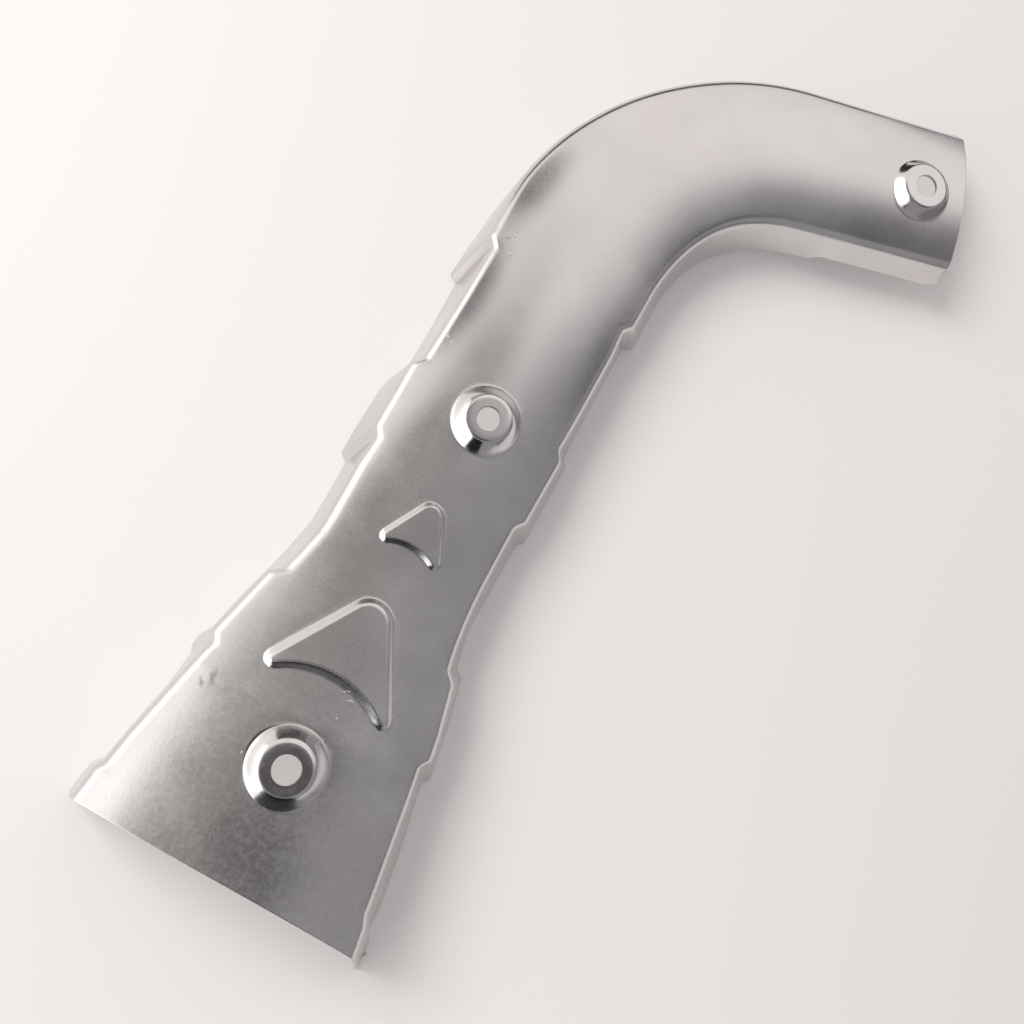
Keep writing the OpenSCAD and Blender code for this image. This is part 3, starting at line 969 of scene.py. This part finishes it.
# %% Roughness and bump of the steel
ROUGH = (0.19, 0.25)
BUMP_H = 0.03
rough = ranged(tree, blotch, 0.3, 0.75, *ROUGH)
for operation, share, amount in [("ADD", fleck, 0.04), ("ADD", wide_end, 0.04), ("SUBTRACT", walls, 0.09)]:
    rough = joined(tree, operation, rough, joined(tree, "MULTIPLY", share, amount))
tree.links.new(rough, shader.inputs["Roughness"])
uneven = joined(tree, "ADD", grain, joined(tree, "MULTIPLY", rolling, 0.25))
height = joined(tree, "MULTIPLY", uneven, ranged(tree, wide_end, 0, 1, 0.16, 0.75))
height = joined(tree, "ADD", height, joined(tree, "MULTIPLY", nicks, 1.6))
bump = node(tree, "ShaderNodeBump", {"Height": height, "Strength": 1.0, "Distance": BUMP_H * MM})
tree.links.new(bump.outputs["Normal"], shader.inputs["Normal"])
shield.data.materials.append(steel)
print("nodes in the steel:", len(tree.nodes))

# %% [markdown]
# # The floor
# The shield lies on pale paper. Its colour is painted lighter on one side and darker towards the other: a
# painted falloff of the light over the table. A white floor could be had by more light, but that would
# burn out the metal as well. So part of the paper's brightness is a glow that only camera, glossy and
# transmission rays see, and the shield keeps its soft shadow. Under each bolt hole the glow is raised in a
# small pale patch. This is a painted pool of light where light through the hole would fall.

# %% Floor
FLOOR_SIZE = 8
# the paper's colour, painted lighter on one side and darker towards the other as a falloff of the light
PAINTED_LIT_SIDE, PAINTED_SHADED_SIDE, CLOUD = (0.48, 0.457, 0.448, 1), (0.42, 0.4, 0.392, 1), (0.43, 0.409, 0.401, 1)
TO_PAINTED_SHADED_SIDE = (0.558, 0.829, 0)
FLOOR_GLOW, GLOW_COLOUR = 0.2, (1, 0.97, 0.955, 1)
# for each hole: how far beside it its painted pool of light lies, in mm, and how strong it is
PAINTED_SPOTS = [((2.328, -4.272), 0.2), ((1.87, 7.122), 0.33), ((9.865, 20.515), 0.24)]
PAINTED_SPOT_R, PAINTED_SPOT_CORE = 7.5, 4.5

bpy.ops.object.select_all(action="DESELECT")
bpy.ops.mesh.primitive_plane_add(size=FLOOR_SIZE)
floor = bpy.context.object
floor.name = "floor"
paper, paper_tree = new_material("pale_floor")
matt = paper_tree.nodes["Principled BSDF"]
on_paper = paper_tree.nodes.new("ShaderNodeTexCoord").outputs["Object"]
across = vector(paper_tree, "DOT_PRODUCT", {0: on_paper, 1: TO_PAINTED_SHADED_SIDE}, "Value")
across = ranged(paper_tree, across, -0.2, 0.12)
cloud = node(paper_tree, "ShaderNodeTexNoise", {"Vector": on_paper, "Scale": 3.0, "Detail": 2.0})
paper_with_painted_falloff = mixed(paper_tree, across, PAINTED_LIT_SIDE, PAINTED_SHADED_SIDE)
paper_with_painted_falloff = mixed(paper_tree, joined(paper_tree, "MULTIPLY", cloud.outputs["Fac"], 0.4), paper_with_painted_falloff, CLOUD)
paper_tree.links.new(paper_with_painted_falloff, matt.inputs["Base Color"])
matt.inputs["Roughness"].default_value = 0.85

rays = paper_tree.nodes.new("ShaderNodeLightPath").outputs
seen = joined(paper_tree, "MAXIMUM", rays["Is Camera Ray"], rays["Is Glossy Ray"])
seen = joined(paper_tree, "MAXIMUM", seen, rays["Is Transmission Ray"])
glow = FLOOR_GLOW
# each hole raises the glow in a soft patch, a painted pool of light under it
for (centre, radius), ((right, up), strength) in zip(holes, PAINTED_SPOTS):
    under = (centre[0] + right * MM, centre[1] + up * MM, 0)
    away = vector(paper_tree, "DISTANCE", {0: on_paper, 1: under}, "Value")
    painted_spot = ranged(paper_tree, away, PAINTED_SPOT_R * MM, PAINTED_SPOT_CORE * MM, 0, strength)
    glow = joined(paper_tree, "ADD", painted_spot, glow)
paper_tree.links.new(joined(paper_tree, "MULTIPLY", seen, glow), matt.inputs["Emission Strength"])
matt.inputs["Emission Color"].default_value = GLOW_COLOUR
floor.data.materials.append(paper)
print("spots of light on the floor:", len(PAINTED_SPOTS))

# %% [markdown]
# # The room
# Metal shows what is around it, so most of the shield's look is the room. An
# image of a real room would bring its windows and lamps along. This one is a
# dim, even room with a few large soft patches: a bright side, three parts of a
# window front, and two darker places overhead. The camera itself sees a pale
# wall.

# %% Room
PICTURE_RIGHT = 29.5
ROOM_COLOUR, WALL_COLOUR = (0.32, 0.31, 0.335, 1), (0.9, 0.88, 0.87, 1)
WINDOW_COLOUR = (1.9, 1.88, 1.86)
# picture angle and angle off the zenith, where the soft edge starts and ends, colour
PATCHES = [
    ((88, 90), 70, 88, (1.0, 0.955, 0.93)),
    ((181, 60), 31, 40, WINDOW_COLOUR),
    ((150, 75), 20, 27, WINDOW_COLOUR),
    ((201, 76), 26, 34, WINDOW_COLOUR),
    ((128, 12), 10, 24, (0.3, 0.285, 0.28)),
    ((-75, 11), 4, 16, (0.26, 0.25, 0.245)),
]


def toward(picture_angle, off_zenith):
    """The direction of a place in the room."""
    turn = math.radians(picture_angle + PICTURE_RIGHT)
    tilt = math.radians(off_zenith)
    return math.sin(tilt) * math.cos(turn), math.sin(tilt) * math.sin(turn), math.cos(tilt)


room = bpy.data.worlds.new("room")
bpy.context.scene.world = room
room.use_nodes = True
room_tree = room.node_tree
facing = room_tree.nodes.new("ShaderNodeTexCoord").outputs["Generated"]
shown = ROOM_COLOUR
for centre, inner, outer, colour in PATCHES:
    near = vector(room_tree, "DOT_PRODUCT", {0: facing, 1: toward(*centre)}, "Value")
    cover = ranged(room_tree, near, math.cos(math.radians(outer)), math.cos(math.radians(inner)))
    shown = mixed(room_tree, cover, shown, (*colour, 1))
camera_ray = room_tree.nodes.new("ShaderNodeLightPath").outputs["Is Camera Ray"]
shown = mixed(room_tree, camera_ray, shown, WALL_COLOUR)
room_tree.links.new(shown, room_tree.nodes["Background"].inputs["Color"])
print("patches in the room:", len(PATCHES))

# %% [markdown]
# # Cards
# The room is far away, so all three bosses would show the same pattern. A
# photographer puts cards beside the object for that: they are near, so each
# boss and fold sees them in another place. Round soft cards hang over the
# table and only show in the metal. They cast no shadow and light nothing.

# %% Soft cards
UNSEEN_IN = ("visible_camera", "visible_diffuse", "visible_transmission", "visible_shadow")
EDGE_SHARE = 0.97
# name, place in mm, radius, radius of the full core, cover, colour
CARDS = [
    ("dark_card", (10, -95, 300), 97, 38, 0.9, (0.045, 0.04, 0.04)),
    ("white_card", (-268, -125, 310), 101, 45, 1.0, (1.85, 1.83, 1.81)),
    ("dark_card_right", (124, 105, 142), 75, 25, 0.85, (0.11, 0.11, 0.12)),
    ("dark_card_left_1", (-98, 45, 75), 32, 12, 0.85, (0.045, 0.045, 0.05)),
    ("dark_card_left_2", (-95, 100, 75), 32, 12, 0.85, (0.045, 0.045, 0.05)),
]


def stage_card(card, paint):
    """Paints a card and lets it show in reflections only."""
    card.data.materials.append(paint)
    for use in UNSEEN_IN:
        setattr(card, use, False)


for name, at, radius, core, cover, colour in CARDS:
    bpy.ops.object.select_all(action="DESELECT")
    bpy.ops.mesh.primitive_circle_add(vertices=48, radius=radius * MM, fill_type="NGON",
                                      location=[v * MM for v in at])
    bpy.context.object.name = name
    paint, paint_tree = new_material(name)
    on_card = paint_tree.nodes.new("ShaderNodeTexCoord").outputs["Object"]
    away = vector(paint_tree, "LENGTH", {0: on_card}, "Value")
    fade = ranged(paint_tree, away, radius * MM * EDGE_SHARE, core * MM, 0, cover)
    clear = paint_tree.nodes.new("ShaderNodeBsdfTransparent")
    lit = node(paint_tree, "ShaderNodeEmission", {"Color": (*colour, 1)})
    face = node(paint_tree, "ShaderNodeMixShader", {0: fade, 1: clear.outputs[0], 2: lit.outputs[0]})
    paint_tree.links.new(face.outputs[0], paint_tree.nodes["Material Output"].inputs["Surface"])
    stage_card(bpy.context.object, paint)
print("soft cards:", [row[0] for row in CARDS])

# %% [markdown]
# Boards stand on the table beside the shield. The steep walls of the bosses
# and the hollow sides of the fins look towards the horizon, so these boards
# are what makes them dark.

# %% Standing boards
# name, place of the foot and size in mm, picture angle that the board faces, shade
BOARDS = [
    ("board_near", (-9, -184), (100, 172), -103, (0.012, 0.012, 0.012)),
    ("board_right", (230, 75), (700, 85), 0, (0.13, 0.13, 0.14)),
    ("board_far", (-130, 271), (420, 80), 90, (0.05, 0.05, 0.055)),
]

for name, foot, (width, tall), angle, shade in BOARDS:
    bpy.ops.object.select_all(action="DESELECT")
    bpy.ops.mesh.primitive_plane_add(
        size=1, location=(foot[0] * MM, foot[1] * MM, tall * MM / 2),
        rotation=(math.radians(90), 0, math.radians(angle + PICTURE_RIGHT - 90)))
    board = bpy.context.object
    board.name = name
    board.scale = (width * MM, tall * MM, 1)
    bpy.ops.object.transform_apply(location=False, rotation=True, scale=True)
    paint, paint_tree = new_material(name)
    dull = paint_tree.nodes["Principled BSDF"]
    dull.inputs["Base Color"].default_value = (*shade, 1)
    dull.inputs["Roughness"].default_value = 1.0
    dull.inputs["Specular IOR Level"].default_value = 0.0
    stage_card(board, paint)
print("standing boards:", [row[0] for row in BOARDS])

# %% [markdown]
# # The lamp
# One large soft lamp stands to the upper left and throws the shield's shadow
# to the lower right. A sun would give a hard shadow, and a small lamp a bright
# dot on every boss, so the lamp is large and hidden from the metal.

# %% Lamp
WINDOW_SIZE, WINDOW_POWER, WINDOW_AWAY = 0.6, 15.5, 1.2
WINDOW_AT = (138, 47)

lamp = bpy.data.lights.new("window_light", "AREA")
lamp.shape = "RECTANGLE"
lamp.size, lamp.size_y = WINDOW_SIZE, WINDOW_SIZE
lamp.energy = WINDOW_POWER
lamp_at = Vector(toward(*WINDOW_AT)) * WINDOW_AWAY
window = bpy.data.objects.new("window_light", lamp)
window.location = lamp_at
window.rotation_euler = (-lamp_at).to_track_quat("-Z", "Y").to_euler()
window.visible_glossy = False
bpy.context.scene.collection.objects.link(window)
bpy.context.scene.view_settings.view_transform = "Standard"
print("lamp height in m:", round(lamp_at.z, 2))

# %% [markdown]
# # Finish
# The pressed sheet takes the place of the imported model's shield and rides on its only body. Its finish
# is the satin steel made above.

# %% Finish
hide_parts("heat_shield")
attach(shield, "root")
